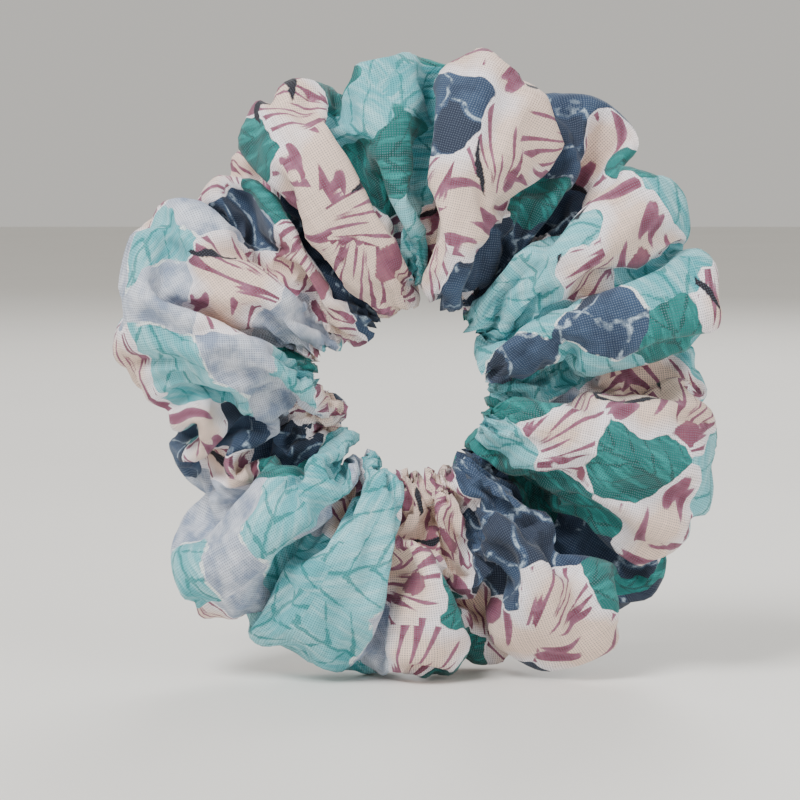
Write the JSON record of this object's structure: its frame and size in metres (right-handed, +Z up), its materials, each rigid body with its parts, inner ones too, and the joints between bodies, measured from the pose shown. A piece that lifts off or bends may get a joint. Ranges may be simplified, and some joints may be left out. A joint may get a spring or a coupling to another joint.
{
  "type": "scrunchie",
  "caption": "Gathered ring of printed cotton over a hidden elastic loop, which stretches open to hold a ponytail.",
  "frame": {"origin": "middle of the footprint, on the surface that the ring stands on", "axes": "+Z up, loop axis along Y, +X to the right of a viewer who looks along +Y"},
  "size_m": [0.1132, 0.0398, 0.1179],
  "materials": {
    "printed_cotton": "matte",
    "braided_elastic": "matte",
    "sewing_thread": "satin"
  },
  "bodies": {
    "lower_half": {"cover_lower": "printed_cotton", "elastic_band": "braided_elastic", "elastic_join_stitches": "sewing_thread", "long_seam_thread_lower": "sewing_thread", "end_seam_thread": "sewing_thread", "closing_stitches": "sewing_thread"},
    "upper_half": {"cover_upper": "printed_cotton", "long_seam_thread_upper": "sewing_thread"}
  },
  "joints": [
    {"name": "stretch", "type": "slide", "parent": "lower_half", "child": "upper_half", "axis": [0, 0, 1], "range_m": [0, 0.07], "stiffness_N_per_m": 60, "deforming": ["elastic_band"]}
  ]
}
